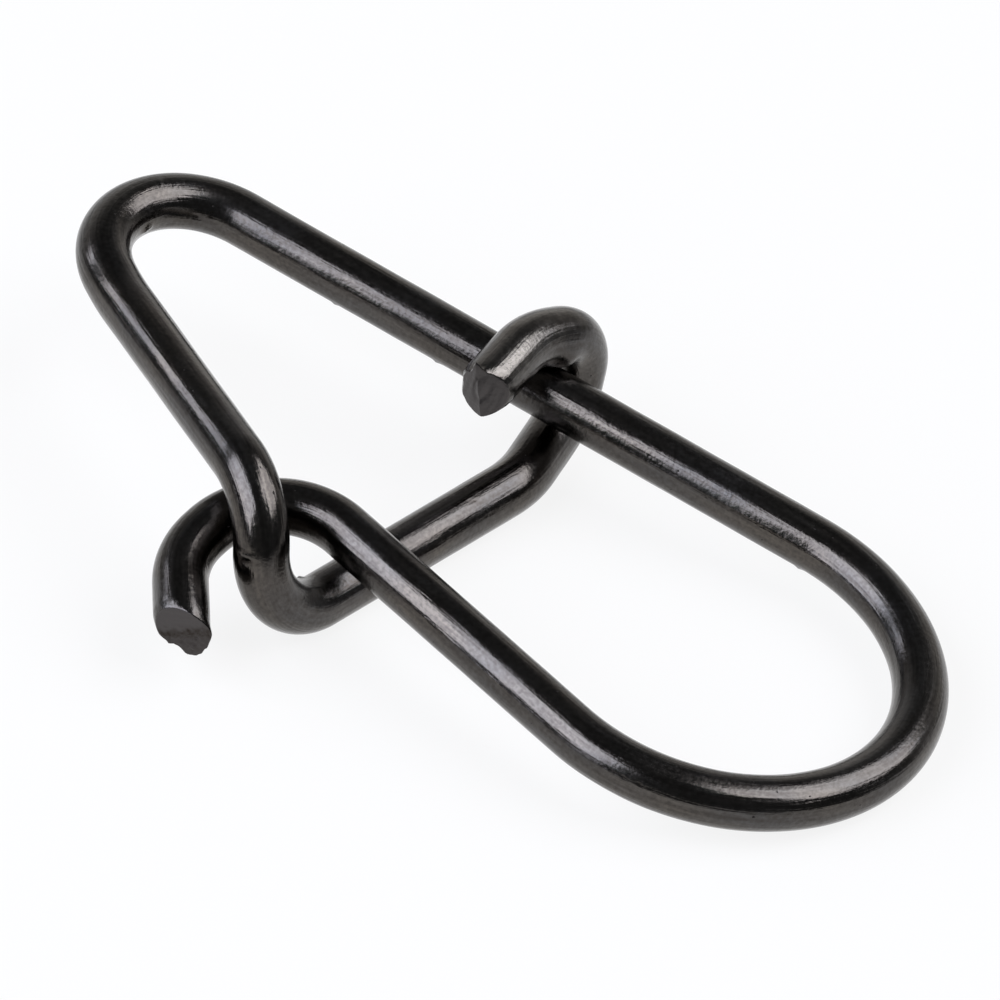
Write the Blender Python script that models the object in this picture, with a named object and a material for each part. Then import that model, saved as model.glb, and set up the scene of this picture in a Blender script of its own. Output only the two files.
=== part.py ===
"""Fishing snap, bent from one length of round spring wire.

Units are metres, +Z is up. The wire is drawn first in the plane of its loop, with
the small line eye towards -X, the large lure bow towards +X and the long leg on
the +Y side. It is then turned onto the three places it rests on.
"""
import math

import bmesh
import bpy
from mathutils import Matrix, Vector

MM = 0.001

# Wire stock
WIRE_DIAMETER = 1.0 * MM
WIRE_COLOUR = (0.030, 0.029, 0.030, 1.0)
WIRE_ROUGHNESS = 0.22
WIRE_METALLIC = 1.0

# Loop, measured to the middle of the wire
EYE_RADIUS = 1.74 * MM
BOW_RADIUS = 3.79 * MM
EYE_TO_BOW = 12.23 * MM

# Short leg, from the eye to the top of the corner post
POST_FROM_EYE = 4.97 * MM
POST_REACH = 4.58 * MM
POST_TOP_LIFT = 0.97 * MM
POST_TOP_RADIUS = 1.48 * MM
RISE_START = 0.43 * MM
RISE_RADIUS = 4.00 * MM

# Corner post and brace, which runs under the return leg
POST_LEAN_X = 1.06 * MM
POST_LEAN_Y = 0.50 * MM
POST_FOOT_RADIUS = 1.34 * MM
BRACE_CLEARANCE = 0.50 * MM

# Hook A, which wraps the long leg: sizes along, outside and above the leg's middle
HOOK_A_STATION = 5.88 * MM
HOOK_A_CLEARANCE = 0.06 * MM
HOOK_A_TIP_REACH = 2.15 * MM
HOOK_A_TIP_DIP = 0.06 * MM
CROWN_INSET = 0.21 * MM
CROWN_LIFT = 0.06 * MM
CROWN_RADIUS = 2.34 * MM
SHOULDER_SHIFT = 0.55 * MM
SHOULDER_OUT = 0.14 * MM
SHOULDER_HEIGHT = 0.71 * MM
SHOULDER_RADIUS = 1.11 * MM
HEEL_SHIFT = 0.74 * MM
HEEL_OUT = 0.07 * MM
HEEL_DROP = 0.10 * MM
HEEL_RADIUS = 0.83 * MM
BRACE_BEND_SHIFT = 0.96 * MM
BRACE_BEND_INSET = 1.10 * MM
BRACE_BEND_DROP = 0.14 * MM
BRACE_BEND_RADIUS = 2.68 * MM

# Hook B, which wraps the corner post
NECK_SHIFT = 0.72 * MM
NECK_INSET = 1.63 * MM
NECK_RADIUS = 1.67 * MM
HOOK_B_PLAY = 0.21 * MM
HOOK_B_REACH = 0.79 * MM
HOOK_B_DROP = 0.53 * MM
HOOK_B_RADIUS = 1.55 * MM
HOOK_B_TIP_X = 1.05 * MM
HOOK_B_TIP_Y = 1.03 * MM
HOOK_B_TIP_DROP = 0.45 * MM

# Nipper cuts at the two tips: slope off square, and which way the slope faces
CUT_A_BOW_SLOPE = 33.0
CUT_A_BOW_TURN = 21.0
CUT_A_EYE_SLOPE = 20.0
CUT_A_EYE_TURN = 201.0
CUT_B_SLOPE = 25.0
CUT_B_TURN = 155.0
SPARE_WIRE = 0.60 * MM
CUTTER_SIDE = 2.20 * MM

# Fineness of the round stretches, and rounds for the resting turn to settle
BEND_STEP = 7.5
ROUND_RESOLUTION = 8
CAP_WELD = 0.001 * MM
SEAT_ROUNDS = 12

UP = Vector((0.0, 0.0, 1.0))


def clear_scene():
    for item in list(bpy.data.objects):
        bpy.data.objects.remove(item, do_unlink=True)


def new_collection(name):
    collection = bpy.data.collections.new(name)
    bpy.context.scene.collection.children.link(collection)
    return collection


def polar(degrees, length=1.0):
    """Vector in the loop plane, at an angle from +X."""
    angle = math.radians(degrees)
    return Vector((math.cos(angle), math.sin(angle), 0.0)) * length


def touch_angle(point, centre, radius, side):
    """Where a line from the point touches a circle, on its left (+1) or right (-1)."""
    offset = Vector((point.x - centre.x, point.y - centre.y, 0.0))
    bearing = math.degrees(math.atan2(offset.y, offset.x))
    return bearing + side * math.degrees(math.acos(radius / offset.length))


def arc_corners(centre, radius, start, end):
    """Two corners whose bends of this radius join into one arc."""
    half = (end - start) / 2
    reach = radius / math.cos(math.radians(half / 2))
    return [(centre + polar(start + half * share, reach), radius) for share in (0.5, 1.5)]


def hook_a_corners(origin, along, outward):
    """Hook A from its tip, over the long leg, round its outside and back beneath it."""
    beside = WIRE_DIAMETER + HOOK_A_CLEARANCE
    crown = beside + CROWN_LIFT
    places = [
        (0.0, -HOOK_A_TIP_REACH, crown - HOOK_A_TIP_DIP, 0.0),
        (0.0, -CROWN_INSET, crown, CROWN_RADIUS),
        (SHOULDER_SHIFT, beside + SHOULDER_OUT, SHOULDER_HEIGHT, SHOULDER_RADIUS),
        (HEEL_SHIFT, beside + HEEL_OUT, -beside - HEEL_DROP, HEEL_RADIUS),
        (BRACE_BEND_SHIFT, -BRACE_BEND_INSET, -beside - BRACE_BEND_DROP, BRACE_BEND_RADIUS),
    ]
    corners = []
    for shift, out, height, radius in places:
        corners.append((origin + along * shift + outward * out + UP * height, radius))
    return corners


def wire_corners():
    """Corner points from hook A's tip to hook B's tip, each with its bend radius."""
    eye = Vector((-EYE_TO_BOW / 2, 0.0, 0.0))
    bow = Vector((EYE_TO_BOW / 2, 0.0, 0.0))
    long_leg = math.degrees(math.asin((BOW_RADIUS - EYE_RADIUS) / EYE_TO_BOW))
    long_side = long_leg + 90.0
    hook_a = eye + polar(long_side, EYE_RADIUS) + polar(long_leg, HOOK_A_STATION)
    corners = hook_a_corners(hook_a, polar(long_leg), polar(long_side))

    # The post stands between the brace, under the loop, and the short leg, over it
    post_top = eye + Vector((POST_FROM_EYE, -POST_REACH, 0.0))
    post_foot = post_top + Vector((POST_LEAN_X, -POST_LEAN_Y, 0.0))
    post_middle = (post_top + post_foot) / 2
    neck = post_top + Vector((-NECK_SHIFT, NECK_INSET, 0.0))
    post_top += UP * POST_TOP_LIFT
    post_foot -= UP * (WIRE_DIAMETER + BRACE_CLEARANCE)
    corners += [(post_foot, POST_FOOT_RADIUS), (post_top, POST_TOP_RADIUS)]

    # The short leg is level where it leaves the eye
    short_side = touch_angle(post_top, eye, EYE_RADIUS, -1)
    rise = eye + polar(short_side, EYE_RADIUS) + polar(short_side + 90.0, RISE_START)
    corners.append((rise, RISE_RADIUS))
    corners += arc_corners(eye, EYE_RADIUS, short_side + 360.0, long_side)

    # The return leg runs straight from the bow to the neck of hook B
    return_side = touch_angle(neck, bow, BOW_RADIUS, 1)
    corners += arc_corners(bow, BOW_RADIUS, long_side, return_side)
    corners.append((neck, NECK_RADIUS))
    hook_b = post_middle + Vector((-WIRE_DIAMETER - HOOK_B_PLAY, -HOOK_B_REACH, -HOOK_B_DROP))
    corners.append((hook_b, HOOK_B_RADIUS))
    corners.append((hook_b + Vector((HOOK_B_TIP_X, -HOOK_B_TIP_Y, -HOOK_B_TIP_DROP)), 0.0))
    return corners


def bend_points(before, corner, after, radius):
    """Points along the round bend at a corner, from one straight run to the next."""
    to_before = (before - corner).normalized()
    to_after = (after - corner).normalized()
    turn = math.pi - to_before.angle(to_after)
    centre = corner + (to_before + to_after).normalized() * (radius / math.cos(turn / 2))
    start = corner + to_before * (radius * math.tan(turn / 2)) - centre
    axis = to_before.cross(to_after)
    steps = math.ceil(math.degrees(turn) / BEND_STEP)
    turns = [Matrix.Rotation(-turn * index / steps, 3, axis) for index in range(steps + 1)]
    return [centre + part_turn @ start for part_turn in turns]


def wire_points(corners):
    """Middle line of the wire: straight runs, round bends and spare wire at both tips."""
    places = [place for place, radius in corners]
    points = [places[0] + (places[0] - places[1]).normalized() * SPARE_WIRE]
    for index in range(1, len(corners) - 1):
        radius = corners[index][1]
        points += bend_points(places[index - 1], places[index], places[index + 1], radius)
    points.append(places[-1] + (places[-1] - places[-2]).normalized() * SPARE_WIRE)
    return points


def resting_turn(points):
    """Turn that sets the wire down on the bow, on hook A and on the foot of the post."""
    bow_side = [point for point in points if point.x > EYE_TO_BOW / 4]
    latch_side = [point for point in points if point.x <= EYE_TO_BOW / 4]
    near_side = [point for point in latch_side if point.y < 0.0]
    far_side = [point for point in latch_side if point.y >= 0.0]
    normal = UP
    for _ in range(SEAT_ROUNDS):
        bow, far, near = [min(group, key=normal.dot) for group in (bow_side, far_side, near_side)]
        normal = (far - bow).cross(near - bow).normalized()
    return normal.rotation_difference(UP).to_matrix().to_4x4()


def plated_material():
    """Black, mirror-like plating."""
    material = bpy.data.materials.new("black_plated_wire")
    material.use_nodes = True
    shader = material.node_tree.nodes["Principled BSDF"]
    shader.inputs["Base Color"].default_value = WIRE_COLOUR
    shader.inputs["Roughness"].default_value = WIRE_ROUGHNESS
    shader.inputs["Metallic"].default_value = WIRE_METALLIC
    return material


def drawn_wire(points, collection):
    """Round wire along the points, as a closed mesh."""
    curve = bpy.data.curves.new("wire_route", "CURVE")
    curve.dimensions = "3D"
    curve.bevel_depth = WIRE_DIAMETER / 2
    curve.bevel_resolution = ROUND_RESOLUTION
    curve.use_fill_caps = True
    spline = curve.splines.new("POLY")
    spline.points.add(len(points) - 1)
    for knot, point in zip(spline.points, points):
        knot.co = (*point, 1.0)
    route = bpy.data.objects.new("wire_route", curve)
    collection.objects.link(route)
    evaluated = route.evaluated_get(bpy.context.evaluated_depsgraph_get())
    mesh = bpy.data.meshes.new_from_object(evaluated)

    skin = bmesh.new()
    skin.from_mesh(mesh)
    bmesh.ops.remove_doubles(skin, verts=skin.verts, dist=CAP_WELD)
    bmesh.ops.recalc_face_normals(skin, faces=skin.faces)
    skin.to_mesh(mesh)
    skin.free()
    mesh.shade_smooth()
    mesh.materials.clear()
    mesh.materials.append(plated_material())
    wire = bpy.data.objects.new("snap_wire", mesh)
    wire.matrix_world = route.matrix_world
    collection.objects.link(wire)
    bpy.data.objects.remove(route, do_unlink=True)
    return wire


def nipper_cut(wire, name, corner_pair, slope, turn, collection):
    """Cut the tip off square to its run, then sloped so that the face looks along turn."""
    tip, before = corner_pair
    run = (tip - before).normalized()
    side = UP.cross(run).normalized()
    top = run.cross(side)
    turn = math.radians(turn)
    slope = math.radians(slope)
    facing = side * math.cos(turn) + top * math.sin(turn)
    normal = run * math.cos(slope) + facing * math.sin(slope)

    mesh = bpy.data.meshes.new(name)
    block = bmesh.new()
    bmesh.ops.create_cube(block, size=CUTTER_SIDE)
    bmesh.ops.translate(block, vec=UP * (CUTTER_SIDE / 2), verts=block.verts)
    block.to_mesh(mesh)
    block.free()
    cutter = bpy.data.objects.new(name, mesh)
    cutter.matrix_world = Matrix.Translation(tip) @ UP.rotation_difference(normal).to_matrix().to_4x4()
    cutter.display_type = "WIRE"
    cutter.hide_render = True
    collection.objects.link(cutter)
    cut = wire.modifiers.new(name, "BOOLEAN")
    cut.operation = "DIFFERENCE"
    cut.solver = "EXACT"
    cut.object = cutter
    return cutter


def lay_down(pieces, turn, wire, collection):
    """Turn all pieces onto the resting points, with the origin under the wire's middle."""
    pose = bpy.data.objects.new("resting_pose", None)
    pose.matrix_world = turn
    collection.objects.link(pose)
    for piece in pieces:
        piece.parent = pose
    bpy.context.view_layer.update()
    evaluated = wire.evaluated_get(bpy.context.evaluated_depsgraph_get())
    places = [evaluated.matrix_world @ vertex.co for vertex in evaluated.data.vertices]
    low = Vector([min(place[axis] for place in places) for axis in range(3)])
    high = Vector([max(place[axis] for place in places) for axis in range(3)])
    pose.location = Vector((-(low.x + high.x) / 2, -(low.y + high.y) / 2, -low.z))


def main():
    clear_scene()
    part = new_collection("fishing_snap")
    cutters = new_collection("cutters")
    corners = wire_corners()
    points = wire_points(corners)
    wire = drawn_wire(points, part)
    places = [place for place, radius in corners]
    tip_a = (places[0], places[1])
    tip_b = (places[-1], places[-2])
    pieces = [
        wire,
        nipper_cut(wire, "tip_a_bow_cut", tip_a, CUT_A_BOW_SLOPE, CUT_A_BOW_TURN, cutters),
        nipper_cut(wire, "tip_a_eye_cut", tip_a, CUT_A_EYE_SLOPE, CUT_A_EYE_TURN, cutters),
        nipper_cut(wire, "tip_b_cut", tip_b, CUT_B_SLOPE, CUT_B_TURN, cutters),
    ]
    lay_down(pieces, resting_turn(points), wire, part)


main()
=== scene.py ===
"""Fishing snap in black-plated spring wire, lying on a white studio table.

The wire follows the route of the CAD part, with finer bends, sheared tips, draw marks and
plating flaws. Lengths are in metres and angles in degrees. The route is laid out in the
plane of the loop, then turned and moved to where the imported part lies.
"""
import math
from collections import namedtuple

import bpy
from mathutils import Matrix, Vector, noise


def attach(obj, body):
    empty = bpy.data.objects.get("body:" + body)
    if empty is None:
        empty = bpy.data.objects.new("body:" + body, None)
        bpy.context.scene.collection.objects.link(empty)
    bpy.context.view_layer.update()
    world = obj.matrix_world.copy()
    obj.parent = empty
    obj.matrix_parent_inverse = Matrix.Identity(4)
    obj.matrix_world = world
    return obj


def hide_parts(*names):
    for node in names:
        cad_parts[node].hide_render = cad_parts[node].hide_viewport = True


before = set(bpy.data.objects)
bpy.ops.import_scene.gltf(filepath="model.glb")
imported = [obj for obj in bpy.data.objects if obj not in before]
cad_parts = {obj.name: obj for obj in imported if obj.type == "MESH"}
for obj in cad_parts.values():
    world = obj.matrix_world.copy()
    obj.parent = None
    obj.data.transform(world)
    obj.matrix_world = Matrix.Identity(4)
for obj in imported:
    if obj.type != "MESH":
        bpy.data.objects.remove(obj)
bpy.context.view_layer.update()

MM = 0.001
UP = Vector((0.0, 0.0, 1.0))

# Route of the wire, with the same sizes as the CAD part, but for hook B, whose last bend
# sits lower so that its straight end leans as its highlights show
WIRE_DIAMETER = 1.0 * MM
EYE_RADIUS = 1.74 * MM
BOW_RADIUS = 3.79 * MM
EYE_TO_BOW = 12.23 * MM
POST_FROM_EYE = 4.97 * MM
POST_REACH = 4.58 * MM
POST_TOP_LIFT = 0.97 * MM
POST_TOP_RADIUS = 1.48 * MM
RISE_START = 0.43 * MM
RISE_RADIUS = 4.00 * MM
POST_LEAN_X = 1.06 * MM
POST_LEAN_Y = 0.50 * MM
POST_FOOT_RADIUS = 1.34 * MM
BRACE_CLEARANCE = 0.50 * MM
HOOK_A_STATION = 5.88 * MM
HOOK_A_CLEARANCE = 0.06 * MM
HOOK_A_TIP_REACH = 2.15 * MM
HOOK_A_TIP_DIP = 0.06 * MM
CROWN_INSET = 0.21 * MM
CROWN_LIFT = 0.06 * MM
CROWN_RADIUS = 2.34 * MM
SHOULDER_SHIFT = 0.55 * MM
SHOULDER_OUT = 0.14 * MM
SHOULDER_HEIGHT = 0.71 * MM
SHOULDER_RADIUS = 1.11 * MM
HEEL_SHIFT = 0.74 * MM
HEEL_OUT = 0.07 * MM
HEEL_DROP = 0.10 * MM
HEEL_RADIUS = 0.83 * MM
BRACE_BEND_SHIFT = 0.96 * MM
BRACE_BEND_INSET = 1.10 * MM
BRACE_BEND_DROP = 0.14 * MM
BRACE_BEND_RADIUS = 2.68 * MM
NECK_SHIFT = 0.72 * MM
NECK_INSET = 1.63 * MM
NECK_RADIUS = 1.67 * MM
HOOK_B_PLAY = 0.33 * MM
HOOK_B_REACH = 0.53 * MM
HOOK_B_DROP = 0.78 * MM
HOOK_B_RADIUS = 1.55 * MM
HOOK_B_TIP_X = 1.17 * MM
HOOK_B_TIP_Y = 1.29 * MM
HOOK_B_TIP_DROP = 0.20 * MM

# Slope of each sheared facet from square, and the way that it faces round the wire
CUT_A_BOW_SLOPE = 33.0
CUT_A_BOW_TURN = 21.0
CUT_A_EYE_SLOPE = 20.0
CUT_A_EYE_TURN = 201.0
CUT_B_SLOPE = 29.0
CUT_B_TURN = 165.2

# The bow's side of this station rests on the bow, the other side on the latch
LATCH_END = EYE_TO_BOW / 4
SEAT_ROUNDS = 12

# Fineness of the swept surface
RING_SIDES = 72
RING_SPACING = 0.08 * MM
BEND_SPACING = 0.05 * MM
SHORTEST_STRAIGHT = 0.004 * MM
TIP_RUN = 0.60 * MM
CAP_RINGS = 22
RIM_ROUND = 0.018 * MM
SHARP_ANGLE = 35.0

# The plating stands this far over the drawn wire
PLATING = 0.008 * MM

# Slight waviness that drawing and bending leave in the wire
WAVE_LENGTH = 0.90 * MM
WAVE_WIDTH = 0.36 * MM
WAVE_HEIGHT = 0.0045 * MM

# The nippers roll the rim of each cut over and leave its face streaked
ROLL_HEIGHT = 0.035 * MM
ROLL_RUN = 0.16 * MM
STREAK_LENGTH = 0.50 * MM
STREAK_WIDTH = 0.07 * MM
STREAK_HEIGHT = 0.008 * MM
STREAK_TURN_A = 95.0
STREAK_TURN_B = 66.0

# Oval groove on cut face A. Its width is a share of the oval's size
SWIRL_MIDDLE = (0.00 * MM, 0.17 * MM)
SWIRL_SIZE = (0.12 * MM, 0.27 * MM)
SWIRL_DEPTH = 0.020 * MM
SWIRL_WIDTH = 0.35

# One side of cut face B tore off and sank: painted shade darkens a band along the step where the
# tear begins, and the torn side beyond is greyer bare metal
TEAR_TURN = 343.0
TEAR_START = 0.05 * MM
TEAR_RUN = 0.07 * MM
TEAR_RAGGED = 0.035 * MM
TEAR_DEPTH = 0.020 * MM
TEAR_EDGE = 0.095 * MM
TEAR_GREY = 0.45
TEAR_LUMP = 0.09 * MM
TEAR_LUMP_HEIGHT = 0.030 * MM

# Flaws of the surface: distance from tip A, half length, half width and rise in mm, side
# in degrees round the wire, slant as drift round the wire for each mm along it, the share
# of dark colour, which is bare brown metal in most flaws and painted shade in the creases
# by the fold and inside hook A, and the share of plating rubbed bright
Flaw = namedtuple(
    "Flaw", "along side half_length half_width rise bare rubbed slant", defaults=[0.0] * 4)
FLAW_REACH = 2.6
FLAW_RAGGED = 0.55
FLAW_RAGGED_SIZE = 0.11 * MM
TIP_B = 62.42
TEAR_IN_EYE = Flaw(24.98, 222.0, 0.66, 0.050, rise=-0.020, bare=1.0, slant=0.14)
LIP_IN_EYE = Flaw(24.95, 236.0, 0.48, 0.080, rise=0.018, bare=0.25, slant=0.17)
PIT_IN_EYE = Flaw(25.80, 216.0, 0.05, 0.060, rise=-0.014, bare=0.7)
FLECK_IN_EYE = Flaw(23.98, 241.0, 0.17, 0.055, rise=0.040, bare=1.0)
SCALE_ON_EYE = Flaw(24.68, 151.0, 0.035, 0.035, rise=0.016, rubbed=0.5)
FOLD_ON_POST = Flaw(14.71, 92.0, 0.035, 0.170, rise=0.010, rubbed=0.2)
# The two creases carry painted shade: dark lines in their grooves, from their share of dark
# colour
CREASE_BELOW_FOLD = Flaw(14.64, 92.0, 0.030, 0.210, rise=-0.013, bare=0.9)
CREASE_ABOVE_FOLD = Flaw(14.79, 86.0, 0.030, 0.130, rise=-0.010, bare=0.8)
GRIT_ON_BRACE_END = Flaw(12.75, 284.0, 0.05, 0.060, rise=0.035, bare=0.6)
SCRATCH_ON_BRACE = Flaw(8.59, 221.0, 0.10, 0.040, rise=-0.014, bare=0.9, slant=0.35)
GRIT_ON_LEG = Flaw(28.66, 293.0, 0.05, 0.050, rise=0.022, bare=0.3)
GRIT_BY_HOOK = Flaw(30.82, 289.0, 0.06, 0.050, rise=0.022, bare=0.3)
GRIT_BY_BOW = Flaw(38.47, 292.0, 0.06, 0.050, rise=0.020, bare=0.3)
PIT_ON_BOW = Flaw(50.07, 85.0, 0.035, 0.035, rise=-0.012, bare=0.8)
SECOND_PIT_ON_BOW = Flaw(49.80, 88.0, 0.030, 0.030, rise=-0.012, bare=0.8)
PIT_ON_RETURN = Flaw(53.66, 135.0, 0.050, 0.040, rise=-0.014, bare=0.6)
RUB_ON_HOOK_A = Flaw(0.85, 108.0, 0.95, 0.300, rubbed=1.0)
# Painted shade on the pinched strand under the crown of hook A, where the crown shades it
PAINTED_SHADE_IN_HOOK_A = Flaw(2.52, 205.0, 0.34, 0.200, bare=0.9)
WORN_RIM_OF_CUT_A = Flaw(0.0, 350.0, 0.15, 0.190, rise=-0.080)
BURR_OF_CUT_A = Flaw(0.0, 70.0, 0.070, 0.080, rise=0.240, rubbed=0.6)
TORN_RIM_OF_CUT_B = Flaw(TIP_B, 303.0, 0.22, 0.170, rise=-0.100, bare=0.3)
LOBE_OF_CUT_B = Flaw(TIP_B, 345.0, 0.12, 0.100, rise=0.030)
FLAWS = [
    TEAR_IN_EYE, LIP_IN_EYE, PIT_IN_EYE, FLECK_IN_EYE, SCALE_ON_EYE,
    FOLD_ON_POST, CREASE_BELOW_FOLD, CREASE_ABOVE_FOLD, GRIT_ON_BRACE_END, SCRATCH_ON_BRACE,
    GRIT_ON_LEG, GRIT_BY_HOOK, GRIT_BY_BOW, PIT_ON_BOW, SECOND_PIT_ON_BOW, PIT_ON_RETURN,
    RUB_ON_HOOK_A, PAINTED_SHADE_IN_HOOK_A,
    WORN_RIM_OF_CUT_A, BURR_OF_CUT_A, TORN_RIM_OF_CUT_B, LOBE_OF_CUT_B,
]

# Smooth swellings, where the wire was pinched by bending or cutting
PINCH_IN_HOOK_A = Flaw(2.52, 205.0, 0.42, 0.260, rise=0.130)
FLARE_OF_CUT_B = Flaw(TIP_B, 72.0, 0.16, 0.200, rise=0.085)
SWELLINGS = [PINCH_IN_HOOK_A, FLARE_OF_CUT_B]

# Plating. Texture scales are cycles per metre along and across the wire. A band is the
# stretch of a texture's values over which one look gives way to another
GRAIN_SCALE = (13000.0, 13000.0, 13000.0)
STREAK_SCALE = (450.0, 9000.0, 9000.0)
PATCH_SCALE = (500.0, 1500.0, 1500.0)
PIT_SCALE = (5200.0, 6800.0, 6800.0)
FINE_DETAIL = 3.0
PATCH_DETAIL = 2.0
NOISE_ROUGHNESS = 0.6
PIT_SIZE = 0.10
PIT_SHARE = 0.10
PIT_RAGGED = 0.5
PATCH_BAND = (0.35, 0.65)
FINE_BAND = (0.38, 0.62)
SPECKLE_BAND = (0.40, 0.60)
DULL_BAND = (0.75, 1.25)
RUBBED_SPECKLE = (0.55, 1.0)
BARE_AND_SHADE_SPECKLE = (0.6, 1.0)
WARM_PLATE = (0.106, 0.095, 0.084, 1.0)
COOL_PLATE = (0.090, 0.087, 0.086, 1.0)
DARK_PLATE = (0.056, 0.051, 0.047, 1.0)
RUBBED_PLATE = (0.200, 0.188, 0.172, 1.0)
CUT_PLATE = (0.078, 0.072, 0.071, 1.0)
BARE_METAL_AND_SHADE = (0.030, 0.024, 0.020, 1.0)
PIT_COLOUR = (0.030, 0.028, 0.027, 1.0)
PLATE_ROUGHNESS = (0.11, 0.25)
CUT_ROUGHNESS = 0.40
BARE_ROUGHNESS = 0.55
GRAIN_RISE = 0.004 * MM
STREAK_RISE = 0.010 * MM
PIT_RISE = -0.003 * MM

# Camera, seen from the loop, and the pixel of the image where the loop's middle falls
IMAGE_SIZE = 1000
VIEW_BEARING = 25.82
VIEW_HEIGHT = 41.43
VIEW_ROLL = 18.84
LOOP_AT_X = 455.05
LOOP_AT_Y = 459.09
PIXELS_PER_MM = 55.77
VIEW_DISTANCE = 420.0 * MM
SENSOR = 36.0
CLIP_START = 0.01
CLIP_END = 100.0

# Table. Metal sees it fade from full glow to dim over the two reaches from the middle
TABLE_SIDE = 3.0
TABLE_WHITE = 0.72
TABLE_ROUGHNESS = 0.9
TABLE_GLOW = 0.86
TABLE_BRIGHT_REACH = 13.0 * MM
TABLE_DIM_REACH = 45.0 * MM
TABLE_DIM = 0.35

# Dim room with a pale paper sweep, which ends at this height of a ray's direction
ROOM = (0.085, 0.090, 0.096, 1.0)
SWEEP = (1.10, 1.08, 1.05, 1.0)
SWEEP_BEARING = 122.0
SWEEP_TOP = 0.70

# Softboxes: where each stands as seen from the wire, and how far it spreads
Softbox = namedtuple("Softbox", "name bearing from_zenith roll wide tall brightness tint")
LAMP_DISTANCE = 0.5
LEFT_TINT = (0.94, 0.98, 1.12)
RIGHT_TINT = (0.99, 1.00, 1.06)
LEFT_SOFTBOX = Softbox("left_softbox", -120.4, 55.1, -2.0, 53.6, 47.1, 4.8, LEFT_TINT)
LEFT_STRIP = Softbox("left_strip", -169.5, 67.5, 26.0, 9.5, 19.0, 4.8, LEFT_TINT)
RIGHT_SOFTBOX = Softbox("right_softbox", 43.0, 40.4, -21.0, 51.6, 41.2, 4.1, RIGHT_TINT)


def polar(degrees, length=1.0):
    """Vector in the loop plane, at an angle from +X."""
    angle = math.radians(degrees)
    return Vector((math.cos(angle), math.sin(angle), 0.0)) * length


def touch_angle(point, centre, radius, side):
    """Where a line from the point touches a circle, on its left (+1) or right (-1)."""
    offset = Vector((point.x - centre.x, point.y - centre.y, 0.0))
    bearing = math.degrees(math.atan2(offset.y, offset.x))
    return bearing + side * math.degrees(math.acos(radius / offset.length))


def arc_corners(centre, radius, start, end):
    """Two corners whose bends of this radius join into one arc."""
    half = (end - start) / 2
    reach = radius / math.cos(math.radians(half / 2))
    return [(centre + polar(start + half * share, reach), radius) for share in (0.5, 1.5)]


def hook_a_corners(origin, along, outward):
    """Hook A from its tip, over the long leg, round its outside and back beneath it."""
    beside = WIRE_DIAMETER + HOOK_A_CLEARANCE
    crown = beside + CROWN_LIFT
    places = [
        (0.0, -HOOK_A_TIP_REACH, crown - HOOK_A_TIP_DIP, 0.0),
        (0.0, -CROWN_INSET, crown, CROWN_RADIUS),
        (SHOULDER_SHIFT, beside + SHOULDER_OUT, SHOULDER_HEIGHT, SHOULDER_RADIUS),
        (HEEL_SHIFT, beside + HEEL_OUT, -beside - HEEL_DROP, HEEL_RADIUS),
        (BRACE_BEND_SHIFT, -BRACE_BEND_INSET, -beside - BRACE_BEND_DROP, BRACE_BEND_RADIUS),
    ]
    corners = []
    for shift, out, height, radius in places:
        corners.append((origin + along * shift + outward * out + UP * height, radius))
    return corners


def wire_corners():
    """Corner points from hook A's tip to hook B's tip, each with its bend radius."""
    eye = Vector((-EYE_TO_BOW / 2, 0.0, 0.0))
    bow = Vector((EYE_TO_BOW / 2, 0.0, 0.0))
    long_leg = math.degrees(math.asin((BOW_RADIUS - EYE_RADIUS) / EYE_TO_BOW))
    long_side = long_leg + 90.0
    hook_a = eye + polar(long_side, EYE_RADIUS) + polar(long_leg, HOOK_A_STATION)
    corners = hook_a_corners(hook_a, polar(long_leg), polar(long_side))

    # The post stands between the brace, under the loop, and the short leg, over it
    post_top = eye + Vector((POST_FROM_EYE, -POST_REACH, 0.0))
    post_foot = post_top + Vector((POST_LEAN_X, -POST_LEAN_Y, 0.0))
    post_middle = (post_top + post_foot) / 2
    neck = post_top + Vector((-NECK_SHIFT, NECK_INSET, 0.0))
    post_top += UP * POST_TOP_LIFT
    post_foot -= UP * (WIRE_DIAMETER + BRACE_CLEARANCE)
    corners += [(post_foot, POST_FOOT_RADIUS), (post_top, POST_TOP_RADIUS)]

    # The short leg is level where it leaves the eye
    short_side = touch_angle(post_top, eye, EYE_RADIUS, -1)
    rise = eye + polar(short_side, EYE_RADIUS) + polar(short_side + 90.0, RISE_START)
    corners.append((rise, RISE_RADIUS))
    corners += arc_corners(eye, EYE_RADIUS, short_side + 360.0, long_side)

    # The return leg runs straight from the bow to the neck of hook B
    return_side = touch_angle(neck, bow, BOW_RADIUS, 1)
    corners += arc_corners(bow, BOW_RADIUS, long_side, return_side)
    corners.append((neck, NECK_RADIUS))
    hook_b = post_middle + Vector((-WIRE_DIAMETER - HOOK_B_PLAY, -HOOK_B_REACH, -HOOK_B_DROP))
    corners.append((hook_b, HOOK_B_RADIUS))
    corners.append((hook_b + Vector((HOOK_B_TIP_X, -HOOK_B_TIP_Y, -HOOK_B_TIP_DROP)), 0.0))
    return corners


def bend_points(before, corner, after, radius):
    """Points along the round bend at a corner, from one straight run to the next."""
    to_before = (before - corner).normalized()
    to_after = (after - corner).normalized()
    turn = math.pi - to_before.angle(to_after)
    centre = corner + (to_before + to_after).normalized() * (radius / math.cos(turn / 2))
    start = corner + to_before * (radius * math.tan(turn / 2)) - centre
    axis = to_before.cross(to_after)
    steps = math.ceil(turn * (radius + WIRE_DIAMETER / 2) / BEND_SPACING)
    turns = [Matrix.Rotation(-turn * index / steps, 3, axis) for index in range(steps + 1)]
    return [centre + part_turn @ start for part_turn in turns]


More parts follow.
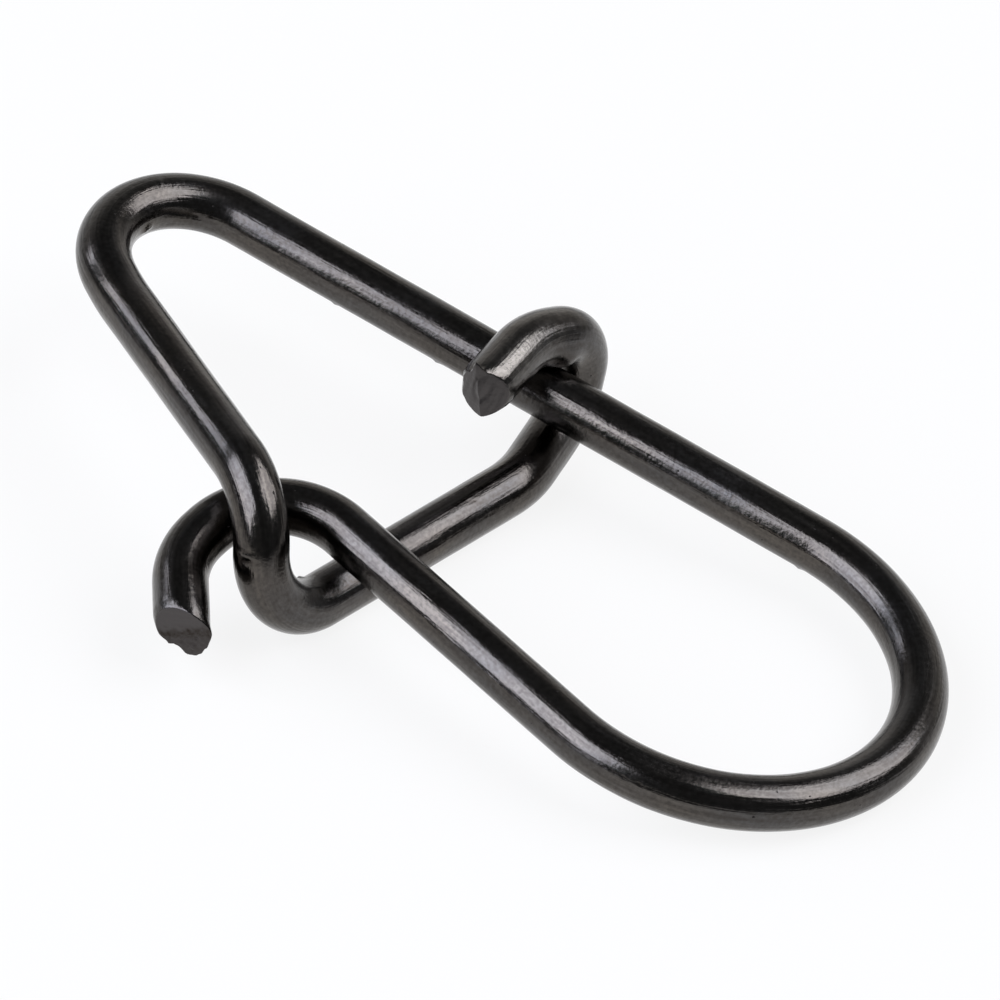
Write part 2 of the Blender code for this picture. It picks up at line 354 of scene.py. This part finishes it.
def middle_line(corners):
    """Closely spaced points along the middle of the wire, from tip A to tip B."""
    places = [place for place, radius in corners]
    stops = [places[0]]
    for index in range(1, len(corners) - 1):
        radius = corners[index][1]
        stops += bend_points(places[index - 1], places[index], places[index + 1], radius)
    stops.append(places[-1])
    points = []
    for start, end in zip(stops, stops[1:]):
        length = (end - start).length
        steps = math.floor(length / RING_SPACING) + 1
        if length > SHORTEST_STRAIGHT:
            points += [start.lerp(end, step / steps) for step in range(steps)]
    points.append(stops[-1])
    return points


def resting_turn(points):
    """Turn that sets the wire down on the bow, on hook A and on the foot of the post."""
    bow_side = [point for point in points if point.x > LATCH_END]
    latch_side = [point for point in points if point.x <= LATCH_END]
    near_side = [point for point in latch_side if point.y < 0.0]
    far_side = [point for point in latch_side if point.y >= 0.0]
    normal = UP
    for _ in range(SEAT_ROUNDS):
        bow = min(bow_side, key=normal.dot)
        far = min(far_side, key=normal.dot)
        near = min(near_side, key=normal.dot)
        normal = (far - bow).cross(near - bow).normalized()
    return normal.rotation_difference(UP).to_matrix().to_4x4()


def cut_facing(run, turn):
    """Direction square to the run, at an angle from level towards the top."""
    side = UP.cross(run).normalized()
    angle = math.radians(turn)
    return side * math.cos(angle) + run.cross(side) * math.sin(angle)


def sloped_cut(facets):
    """Height of a cut over the square end, for an offset from the middle line."""
    def height(offset):
        return min(-math.tan(math.radians(slope)) * facing.dot(offset)
                   for slope, facing in facets)
    return height


def cut_streaks(outset, turn):
    """Height of fine streaks on a cut face, for an offset in the wire's own directions."""
    lengthwise = outset.dot(polar(turn)) / STREAK_LENGTH
    crosswise = outset.dot(polar(turn + 90.0)) / STREAK_WIDTH
    return STREAK_HEIGHT * noise.noise(Vector((lengthwise, crosswise, 0.0)))


def swirl_depth(outset):
    """Shallow oval groove that the nippers leave on cut face A."""
    across = (outset.x - SWIRL_MIDDLE[0]) / SWIRL_SIZE[0]
    upward = (outset.y - SWIRL_MIDDLE[1]) / SWIRL_SIZE[1]
    from_ring = (math.hypot(across, upward) - 1.0) / SWIRL_WIDTH
    return SWIRL_DEPTH * math.exp(-from_ring ** 2)


def tear_share(outset):
    """0 on the smoothly sheared part of cut face B, 1 where the wire tore off."""
    ragged = TEAR_RAGGED * noise.noise(outset / TEAR_LUMP)
    share = (outset.dot(polar(TEAR_TURN)) + ragged - TEAR_START) / TEAR_RUN
    return min(1.0, max(0.0, share))


def relief_a(outset):
    """Height of the marks on cut face A."""
    return cut_streaks(outset, STREAK_TURN_A) - swirl_depth(outset)


def relief_b(outset):
    """Height of the marks on cut face B, with its torn side sunk and lumpy."""
    lump = TEAR_LUMP_HEIGHT * noise.noise(outset / TEAR_LUMP)
    return cut_streaks(outset, STREAK_TURN_B) + tear_share(outset) * (lump - TEAR_DEPTH)


def bareness_a(outset):
    """Cut face A shows no bare metal."""
    return 0.0


# The dark band is painted shade at the tear's step; the torn side's share is bare metal
def bareness_and_shade_b(outset):
    """Bare metal and painted shade on cut face B: most of it a dark band of painted shade along
    the step where the tear begins, fainter bare metal over the torn side.
    """
    ragged = TEAR_EDGE * noise.noise(outset / TEAR_LUMP)
    from_edge = (outset.dot(polar(TEAR_TURN)) + ragged - TEAR_START) / TEAR_EDGE
    return max(math.exp(-from_edge ** 2), TEAR_GREY * tear_share(outset))


def flaw_share(flaw, along, angle, raggedness):
    """How strongly a flaw shows at a place: 1 in its middle, 0 away from it."""
    lengthwise = along - flaw.along * MM
    if abs(lengthwise) > FLAW_REACH * flaw.half_length * MM:
        return 0.0
    turn = math.remainder(angle - math.radians(flaw.side), 2 * math.pi)
    sideways = turn * WIRE_DIAMETER / 2 - flaw.slant * lengthwise
    place = Vector((along, sideways, flaw.side * MM))
    ragged = noise.noise(place / FLAW_RAGGED_SIZE) * raggedness
    stretch = math.hypot(lengthwise / flaw.half_length, sideways / flaw.half_width) / MM
    return math.exp(-(stretch * (1.0 + ragged)) ** 2)


def surface_at(along, angle, length):
    """Rise of the surface over plain round wire, its share of dark colour for bare metal and
    painted shade, and its share of rubbed metal.
    """
    across = math.cos(angle) * WIRE_DIAMETER / 2 / WAVE_WIDTH
    aloft = math.sin(angle) * WIRE_DIAMETER / 2 / WAVE_WIDTH
    rise = PLATING + WAVE_HEIGHT * noise.noise(Vector((along / WAVE_LENGTH, across, aloft)))
    from_cut = min(along, length - along) / ROLL_RUN
    rise -= ROLL_HEIGHT * math.exp(-from_cut ** 2)
    for swelling in SWELLINGS:
        rise += flaw_share(swelling, along, angle, 0.0) * swelling.rise * MM
    bare = 0.0
    rubbed = 0.0
    for flaw in FLAWS:
        share = flaw_share(flaw, along, angle, FLAW_RAGGED)
        if share > 0.0:
            rise += share * flaw.rise * MM
            bare = max(bare, share * flaw.bare)
            rubbed = max(rubbed, share * flaw.rubbed)
    return rise, bare, rubbed


def carried_frames(points):
    """Direction of the wire at each point, and a sideways direction carried along it."""
    before = points[:1] + points[:-1]
    after = points[1:] + points[-1:]
    runs = [(end - start).normalized() for start, end in zip(before, after)]
    aside = UP.cross(runs[0]).normalized()
    sides = []
    for run in runs:
        aside = (aside - run * aside.dot(run)).normalized()
        sides.append(aside)
    return runs, sides


# The end of the wire: slope and marks of its cut, its bare metal and painted shade, and the way
# it faces
Tip = namedtuple("Tip", "cut relief bareness outward")


class WireSkin:
    """Rings of vertices round the wire, from the middle of cut face A to that of face B."""

    def __init__(self, points, cut_a, cut_b):
        self.points = points
        self.runs, self.sides = carried_frames(points)
        self.distance = [0.0]
        for start, end in zip(points, points[1:]):
            self.distance.append(self.distance[-1] + (end - start).length)
        self.vertices = []
        self.wire_space = []
        self.finish = []
        self.faces = []
        last = len(points) - 1
        tip_a = Tip(cut_a, relief_a, bareness_a, -self.runs[0])
        tip_b = Tip(cut_b, relief_b, bareness_and_shade_b, self.runs[last])
        self.add_cut_face(0, tip_a, range(1, CAP_RINGS + 1))
        self.add_round_wire(tip_a, tip_b)
        self.add_cut_face(last, tip_b, range(CAP_RINGS, 0, -1))
        self.join_rings()

    def add_ring(self, index, reach, centre, tip, share, on_cut):
        """One ring of vertices: share is how far it follows the slope of the tip's cut."""
        aside = self.sides[index]
        above = self.runs[index].cross(aside)
        along = self.distance[index]
        for side in range(RING_SIDES):
            angle = 2 * math.pi * side / RING_SIDES
            rise, bare, rubbed = surface_at(along, angle, self.distance[-1])
            spread = reach * (1.0 + rise / (WIRE_DIAMETER / 2))
            outset = Vector((math.cos(angle), math.sin(angle), 0.0)) * spread
            offset = aside * outset.x + above * outset.y
            height = 0.0
            if share > 0.0:
                height = share * (tip.cut(offset) + tip.relief(outset))
            if on_cut:
                bare = max(bare, tip.bareness(outset))
                rubbed = 0.0
            self.vertices.append(centre + offset + tip.outward * height)
            self.wire_space.append((along, outset.x, outset.y))
            self.finish.append((float(on_cut), bare, rubbed))

    def add_cut_face(self, index, tip, rings):
        """Rings across a cut face, numbered outwards from its middle."""
        for ring in rings:
            reach = (WIRE_DIAMETER / 2 - RIM_ROUND) * (ring / CAP_RINGS)
            self.add_ring(index, reach, self.points[index], tip, 1.0, True)

    def add_round_wire(self, tip_a, tip_b):
        """Rings along the wire, set back a little at both ends so that the rims are round."""
        last = len(self.points) - 1
        for index, centre in enumerate(self.points):
            if index == 0:
                centre = centre + self.runs[index] * RIM_ROUND
            if index == last:
                centre = centre - self.runs[index] * RIM_ROUND
            along = self.distance[index]
            share_a = max(0.0, 1.0 - along / TIP_RUN)
            share_b = max(0.0, 1.0 - (self.distance[-1] - along) / TIP_RUN)
            tip, share = (tip_a, share_a) if share_a > 0.0 else (tip_b, share_b)
            self.add_ring(index, WIRE_DIAMETER / 2, centre, tip, share, False)

    def join_rings(self):
        """Faces between neighbouring rings, and over the middle of both cut faces."""
        last_ring = len(self.vertices) - RING_SIDES
        for low in range(0, last_ring, RING_SIDES):
            for side in range(RING_SIDES):
                here = low + side
                beside = low + (side + 1) % RING_SIDES
                self.faces.append((here, beside, beside + RING_SIDES, here + RING_SIDES))
        self.add_fan(0, 0, -1)
        self.add_fan(len(self.points) - 1, last_ring, 1)

    def add_fan(self, index, low, order):
        """Triangles from the middle of a cut face to its first ring, in either order."""
        middle = len(self.vertices)
        self.vertices.append(self.points[index])
        self.wire_space.append((self.distance[index], 0.0, 0.0))
        self.finish.append((1.0, 0.0, 0.0))
        for side in range(RING_SIDES):
            edge = (low + side, low + (side + 1) % RING_SIDES)
            self.faces.append((middle,) + edge[::order])


def add_vectors(mesh, name, values):
    """Store one vector for each vertex of the mesh."""
    layer = mesh.attributes.new(name, "FLOAT_VECTOR", "POINT")
    layer.data.foreach_set("vector", [number for value in values for number in value])


def wire_piece(name):
    """The whole snap as one mesh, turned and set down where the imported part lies."""
    corners = wire_corners()
    places = [place for place, radius in corners]
    points = middle_line(corners)
    run_a = (places[0] - places[1]).normalized()
    run_b = (places[-1] - places[-2]).normalized()
    cut_a = sloped_cut([
        (CUT_A_BOW_SLOPE, cut_facing(run_a, CUT_A_BOW_TURN)),
        (CUT_A_EYE_SLOPE, cut_facing(run_a, CUT_A_EYE_TURN)),
    ])
    cut_b = sloped_cut([(CUT_B_SLOPE, cut_facing(run_b, CUT_B_TURN))])
    skin = WireSkin(points, cut_a, cut_b)
    turn = resting_turn(points)
    placed = [turn @ vertex for vertex in skin.vertices]
    low = Vector([min(vertex[axis] for vertex in placed) for axis in range(3)])
    high = Vector([max(vertex[axis] for vertex in placed) for axis in range(3)])
    shift = Vector((-(low.x + high.x) / 2, -(low.y + high.y) / 2, -low.z))
    mesh = bpy.data.meshes.new(name)
    mesh.from_pydata([vertex + shift for vertex in placed], [], skin.faces)
    mesh.shade_smooth()
    add_vectors(mesh, "wire_space", skin.wire_space)
    add_vectors(mesh, "finish", skin.finish)
    mesh.set_sharp_from_angle(angle=math.radians(SHARP_ANGLE))
    piece = bpy.data.objects.new(name, mesh)
    bpy.context.scene.collection.objects.link(piece)
    return piece, Matrix.Translation(shift) @ turn


class NodeSheet:
    """Short ways to add and join the nodes of a material or a world."""

    def __init__(self, owner):
        owner.use_nodes = True
        self.owner = owner
        self.nodes = owner.node_tree.nodes
        self.links = owner.node_tree.links
        self.shader = self.nodes.get("Principled BSDF") or self.nodes.get("Background")

    def fill(self, socket, value):
        """Give a socket a value, or join it to another node's output."""
        if isinstance(value, bpy.types.NodeSocket):
            self.links.new(value, socket)
        else:
            socket.default_value = value

    def attribute(self, name):
        """Vector stored with the vertices of the mesh."""
        node = self.nodes.new("ShaderNodeAttribute")
        node.attribute_name = name
        return node.outputs["Vector"]

    def math(self, operation, *values):
        """One calculation with numbers or outputs."""
        node = self.nodes.new("ShaderNodeMath")
        node.operation = operation
        for index, value in enumerate(values):
            self.fill(node.inputs[index], value)
        return node.outputs[0]

    def vector_math(self, operation, first, second, output):
        """One calculation with two vectors, and the output that gives its result."""
        node = self.nodes.new("ShaderNodeVectorMath")
        node.operation = operation
        self.fill(node.inputs[0], first)
        self.fill(node.inputs[1], second)
        return node.outputs[output]

    def parts(self, vector):
        """The three parts of a vector."""
        node = self.nodes.new("ShaderNodeSeparateXYZ")
        self.fill(node.inputs[0], vector)
        return node.outputs

    def stretched(self, place, scale):
        """A place in wire space, scaled to texture units by a factor for each direction."""
        return self.vector_math("MULTIPLY", place, scale, "Vector")

    def noise(self, place, scale, detail):
        """Cloudy texture, with its scale along and across the wire."""
        node = self.nodes.new("ShaderNodeTexNoise")
        self.fill(node.inputs["Vector"], self.stretched(place, scale))
        node.inputs["Scale"].default_value = 1.0
        node.inputs["Detail"].default_value = detail
        node.inputs["Roughness"].default_value = NOISE_ROUGHNESS
        return node.outputs[0]

    def spread(self, value, low, high, to_low, to_high):
        """Map a value from one range to another, clamped."""
        node = self.nodes.new("ShaderNodeMapRange")
        for socket, number in zip(node.inputs, (value, low, high, to_low, to_high)):
            self.fill(socket, number)
        return node.outputs[0]

    def blend(self, share, first, second):
        """Mix two colours by a share."""
        node = self.nodes.new("ShaderNodeMix")
        node.data_type = "RGBA"
        self.fill(node.inputs["Factor"], share)
        colours = [socket for socket in node.inputs if socket.type == "RGBA"]
        self.fill(colours[0], first)
        self.fill(colours[1], second)
        return [socket for socket in node.outputs if socket.type == "RGBA"][0]

    def show(self, share, first, second, output):
        """Mix two shaders by a share, and send them to the output node."""
        node = self.nodes.new("ShaderNodeMixShader")
        for socket, value in zip(node.inputs, (share, first, second)):
            self.fill(socket, value)
        self.fill(self.nodes[output].inputs["Surface"], node.outputs[0])


def pit_mask(sheet, place, grain):
    """1 inside small ragged pits scattered over the plating, 0 elsewhere."""
    cells = sheet.nodes.new("ShaderNodeTexVoronoi")
    sheet.fill(cells.inputs["Vector"], sheet.stretched(place, PIT_SCALE))
    cells.inputs["Scale"].default_value = 1.0
    ragged = sheet.math("MULTIPLY", sheet.math("SUBTRACT", grain, 0.5), PIT_RAGGED)
    from_middle = sheet.math("ADD", cells.outputs["Distance"], ragged)
    inside = sheet.math("LESS_THAN", from_middle, PIT_SIZE)
    chosen = sheet.nodes.new("ShaderNodeSeparateColor")
    sheet.fill(chosen.inputs[0], cells.outputs["Color"])
    return sheet.math("MULTIPLY", inside, sheet.math("LESS_THAN", chosen.outputs[0], PIT_SHARE))


def plated_material():
    """Black nickel over drawn wire: dark mirror, lengthwise streaks, pits, dull cuts, and a dark
    colour for bare metal that also paints shade.
    """
    sheet = NodeSheet(bpy.data.materials.new("black_plated_wire_fine"))
    place = sheet.attribute("wire_space")
    cut, bare, rubbed = sheet.parts(sheet.attribute("finish"))

    grain = sheet.noise(place, GRAIN_SCALE, FINE_DETAIL)
    streaks = sheet.noise(place, STREAK_SCALE, FINE_DETAIL)
    patches = sheet.noise(place, PATCH_SCALE, PATCH_DETAIL)
    fine = sheet.math("MULTIPLY_ADD", grain, 0.5, sheet.math("MULTIPLY", streaks, 0.5))
    pits = pit_mask(sheet, place, grain)
    bright = sheet.math("MULTIPLY", rubbed, sheet.spread(fine, *SPECKLE_BAND, *RUBBED_SPECKLE))
    worn_and_shaded = sheet.math("MULTIPLY", bare, sheet.spread(grain, *SPECKLE_BAND, *BARE_AND_SHADE_SPECKLE))

    tint = sheet.blend(sheet.spread(patches, *PATCH_BAND, 0.0, 1.0), WARM_PLATE, COOL_PLATE)
    tint = sheet.blend(sheet.spread(fine, *FINE_BAND, 1.0, 0.0), tint, DARK_PLATE)
    tint = sheet.blend(bright, tint, RUBBED_PLATE)
    tint = sheet.blend(cut, tint, CUT_PLATE)
    # Dark colour for bare metal, also painted shade in the creases by the fold, inside hook A and
    # along the step of cut B's tear
    tint = sheet.blend(worn_and_shaded, tint, BARE_METAL_AND_SHADE)
    tint = sheet.blend(pits, tint, PIT_COLOUR)
    sheet.fill(sheet.shader.inputs["Base Color"], tint)

    dull = sheet.spread(sheet.math("ADD", patches, fine), *DULL_BAND, *PLATE_ROUGHNESS)
    for share, least in ((cut, CUT_ROUGHNESS), (worn_and_shaded, BARE_ROUGHNESS), (pits, BARE_ROUGHNESS)):
        dull = sheet.math("MAXIMUM", dull, sheet.math("MULTIPLY", share, least))
    sheet.fill(sheet.shader.inputs["Roughness"], dull)
    sheet.shader.inputs["Metallic"].default_value = 1.0

    height = sheet.math("MULTIPLY", pits, PIT_RISE)
    height = sheet.math("MULTIPLY_ADD", grain, GRAIN_RISE, height)
    height = sheet.math("MULTIPLY_ADD", streaks, STREAK_RISE, height)
    bump = sheet.nodes.new("ShaderNodeBump")
    bump.inputs["Strength"].default_value = 1.0
    bump.inputs["Distance"].default_value = 1.0
    sheet.fill(bump.inputs["Height"], height)
    sheet.fill(sheet.shader.inputs["Normal"], bump.outputs[0])
    return sheet.owner


def add_camera(pose):
    """Camera at the photograph's angle, worked out in the loop plane."""
    bearing = math.radians(VIEW_BEARING)
    height = math.radians(VIEW_HEIGHT)
    roll = math.radians(VIEW_ROLL)
    level = Vector((math.cos(bearing), math.sin(bearing), 0.0))
    toward = level.cross(UP) * math.cos(height) + UP * math.sin(height)
    upright = toward.cross(level)
    right = level * math.cos(roll) + upright * math.sin(roll)
    above = toward.cross(right)
    middle = IMAGE_SIZE / 2
    aim = (right * (middle - LOOP_AT_X) - above * (middle - LOOP_AT_Y)) * (MM / PIXELS_PER_MM)
    turn = Matrix((right, above, toward)).transposed().to_4x4()
    data = bpy.data.cameras.new("photo_camera")
    data.sensor_width = SENSOR
    data.lens = SENSOR * PIXELS_PER_MM / MM * VIEW_DISTANCE / IMAGE_SIZE
    data.clip_start = CLIP_START
    data.clip_end = CLIP_END
    camera = bpy.data.objects.new("photo_camera", data)
    camera.matrix_world = pose @ Matrix.Translation(aim + toward * VIEW_DISTANCE) @ turn
    bpy.context.scene.collection.objects.link(camera)
    bpy.context.scene.camera = camera


def table_material():
    """White table. Camera and metal see it lifted to white, with a faint shadow kept."""
    sheet = NodeSheet(bpy.data.materials.new("white_table"))
    sheet.shader.inputs["Base Color"].default_value = (TABLE_WHITE, TABLE_WHITE, TABLE_WHITE, 1.0)
    sheet.shader.inputs["Roughness"].default_value = TABLE_ROUGHNESS
    sheet.shader.inputs["Specular IOR Level"].default_value = 0.0
    spot = sheet.nodes.new("ShaderNodeTexCoord").outputs["Object"]
    away = sheet.vector_math("DISTANCE", spot, (0.0, 0.0, 0.0), "Value")
    fading = sheet.spread(away, TABLE_BRIGHT_REACH, TABLE_DIM_REACH, 1.0, TABLE_DIM)
    rays = sheet.nodes.new("ShaderNodeLightPath").outputs
    seen = sheet.math("MAXIMUM", rays["Is Camera Ray"], rays["Is Glossy Ray"])
    glow = sheet.nodes.new("ShaderNodeEmission")
    strength = sheet.math("MAXIMUM", rays["Is Camera Ray"], fading)
    sheet.fill(glow.inputs["Strength"], strength)
    lift = sheet.math("MULTIPLY", seen, TABLE_GLOW)
    sheet.show(lift, sheet.shader.outputs[0], glow.outputs[0], "Material Output")
    return sheet.owner


def add_floor():
    """Flat table under the wire."""
    mesh = bpy.data.meshes.new("table_top")
    half = TABLE_SIDE / 2
    corners = [(-half, -half, 0), (half, -half, 0), (half, half, 0), (-half, half, 0)]
    mesh.from_pydata(corners, [], [(0, 1, 2, 3)])
    mesh.materials.append(table_material())
    floor = bpy.data.objects.new("table_top", mesh)
    bpy.context.scene.collection.objects.link(floor)


def add_softbox(softbox):
    """Rectangular lamp facing the wire."""
    bearing = math.radians(softbox.bearing)
    lean = math.radians(softbox.from_zenith)
    level = Vector((math.cos(bearing), math.sin(bearing), 0.0))
    toward = level * math.sin(lean) + UP * math.cos(lean)
    data = bpy.data.lights.new(softbox.name, "AREA")
    data.shape = "RECTANGLE"
    data.size = 2 * LAMP_DISTANCE * math.tan(math.radians(softbox.wide / 2))
    data.size_y = 2 * LAMP_DISTANCE * math.tan(math.radians(softbox.tall / 2))
    data.energy = softbox.brightness * math.pi * data.size * data.size_y
    data.color = softbox.tint
    light = bpy.data.objects.new(softbox.name, data)
    facing = toward.to_track_quat("Z", "Y").to_matrix().to_4x4()
    rolled = Matrix.Rotation(math.radians(softbox.roll), 4, "Z")
    light.matrix_world = Matrix.Translation(toward * LAMP_DISTANCE) @ facing @ rolled
    bpy.context.scene.collection.objects.link(light)


def add_room():
    """Dim room with a pale paper sweep low behind the wire. The camera sees plain white."""
    sheet = NodeSheet(bpy.data.worlds.new("dim_room"))
    toward = sheet.nodes.new("ShaderNodeTexCoord").outputs["Generated"]
    behind = sheet.vector_math("DOT_PRODUCT", toward, polar(SWEEP_BEARING), "Value")
    behind = sheet.math("MAXIMUM", behind, 0.0)
    low = sheet.spread(sheet.parts(toward)[2], 0.0, SWEEP_TOP, 1.0, 0.0)
    share = sheet.math("MULTIPLY", sheet.math("MULTIPLY", behind, behind), low)
    sheet.fill(sheet.shader.inputs["Color"], sheet.blend(share, ROOM, SWEEP))
    white = sheet.nodes.new("ShaderNodeBackground")
    white.inputs["Color"].default_value = (1.0, 1.0, 1.0, 1.0)
    rays = sheet.nodes.new("ShaderNodeLightPath").outputs
    sheet.show(rays["Is Camera Ray"], sheet.shader.outputs[0], white.outputs[0], "World Output")
    bpy.context.scene.world = sheet.owner


wire, pose = wire_piece("plated_wire")
wire.data.materials.append(plated_material())
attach(wire, "root")
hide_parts("snap_wire")
add_camera(pose)
add_floor()
for softbox in (LEFT_SOFTBOX, LEFT_STRIP, RIGHT_SOFTBOX):
    add_softbox(softbox)
add_room()
bpy.context.scene.view_settings.view_transform = "Standard"
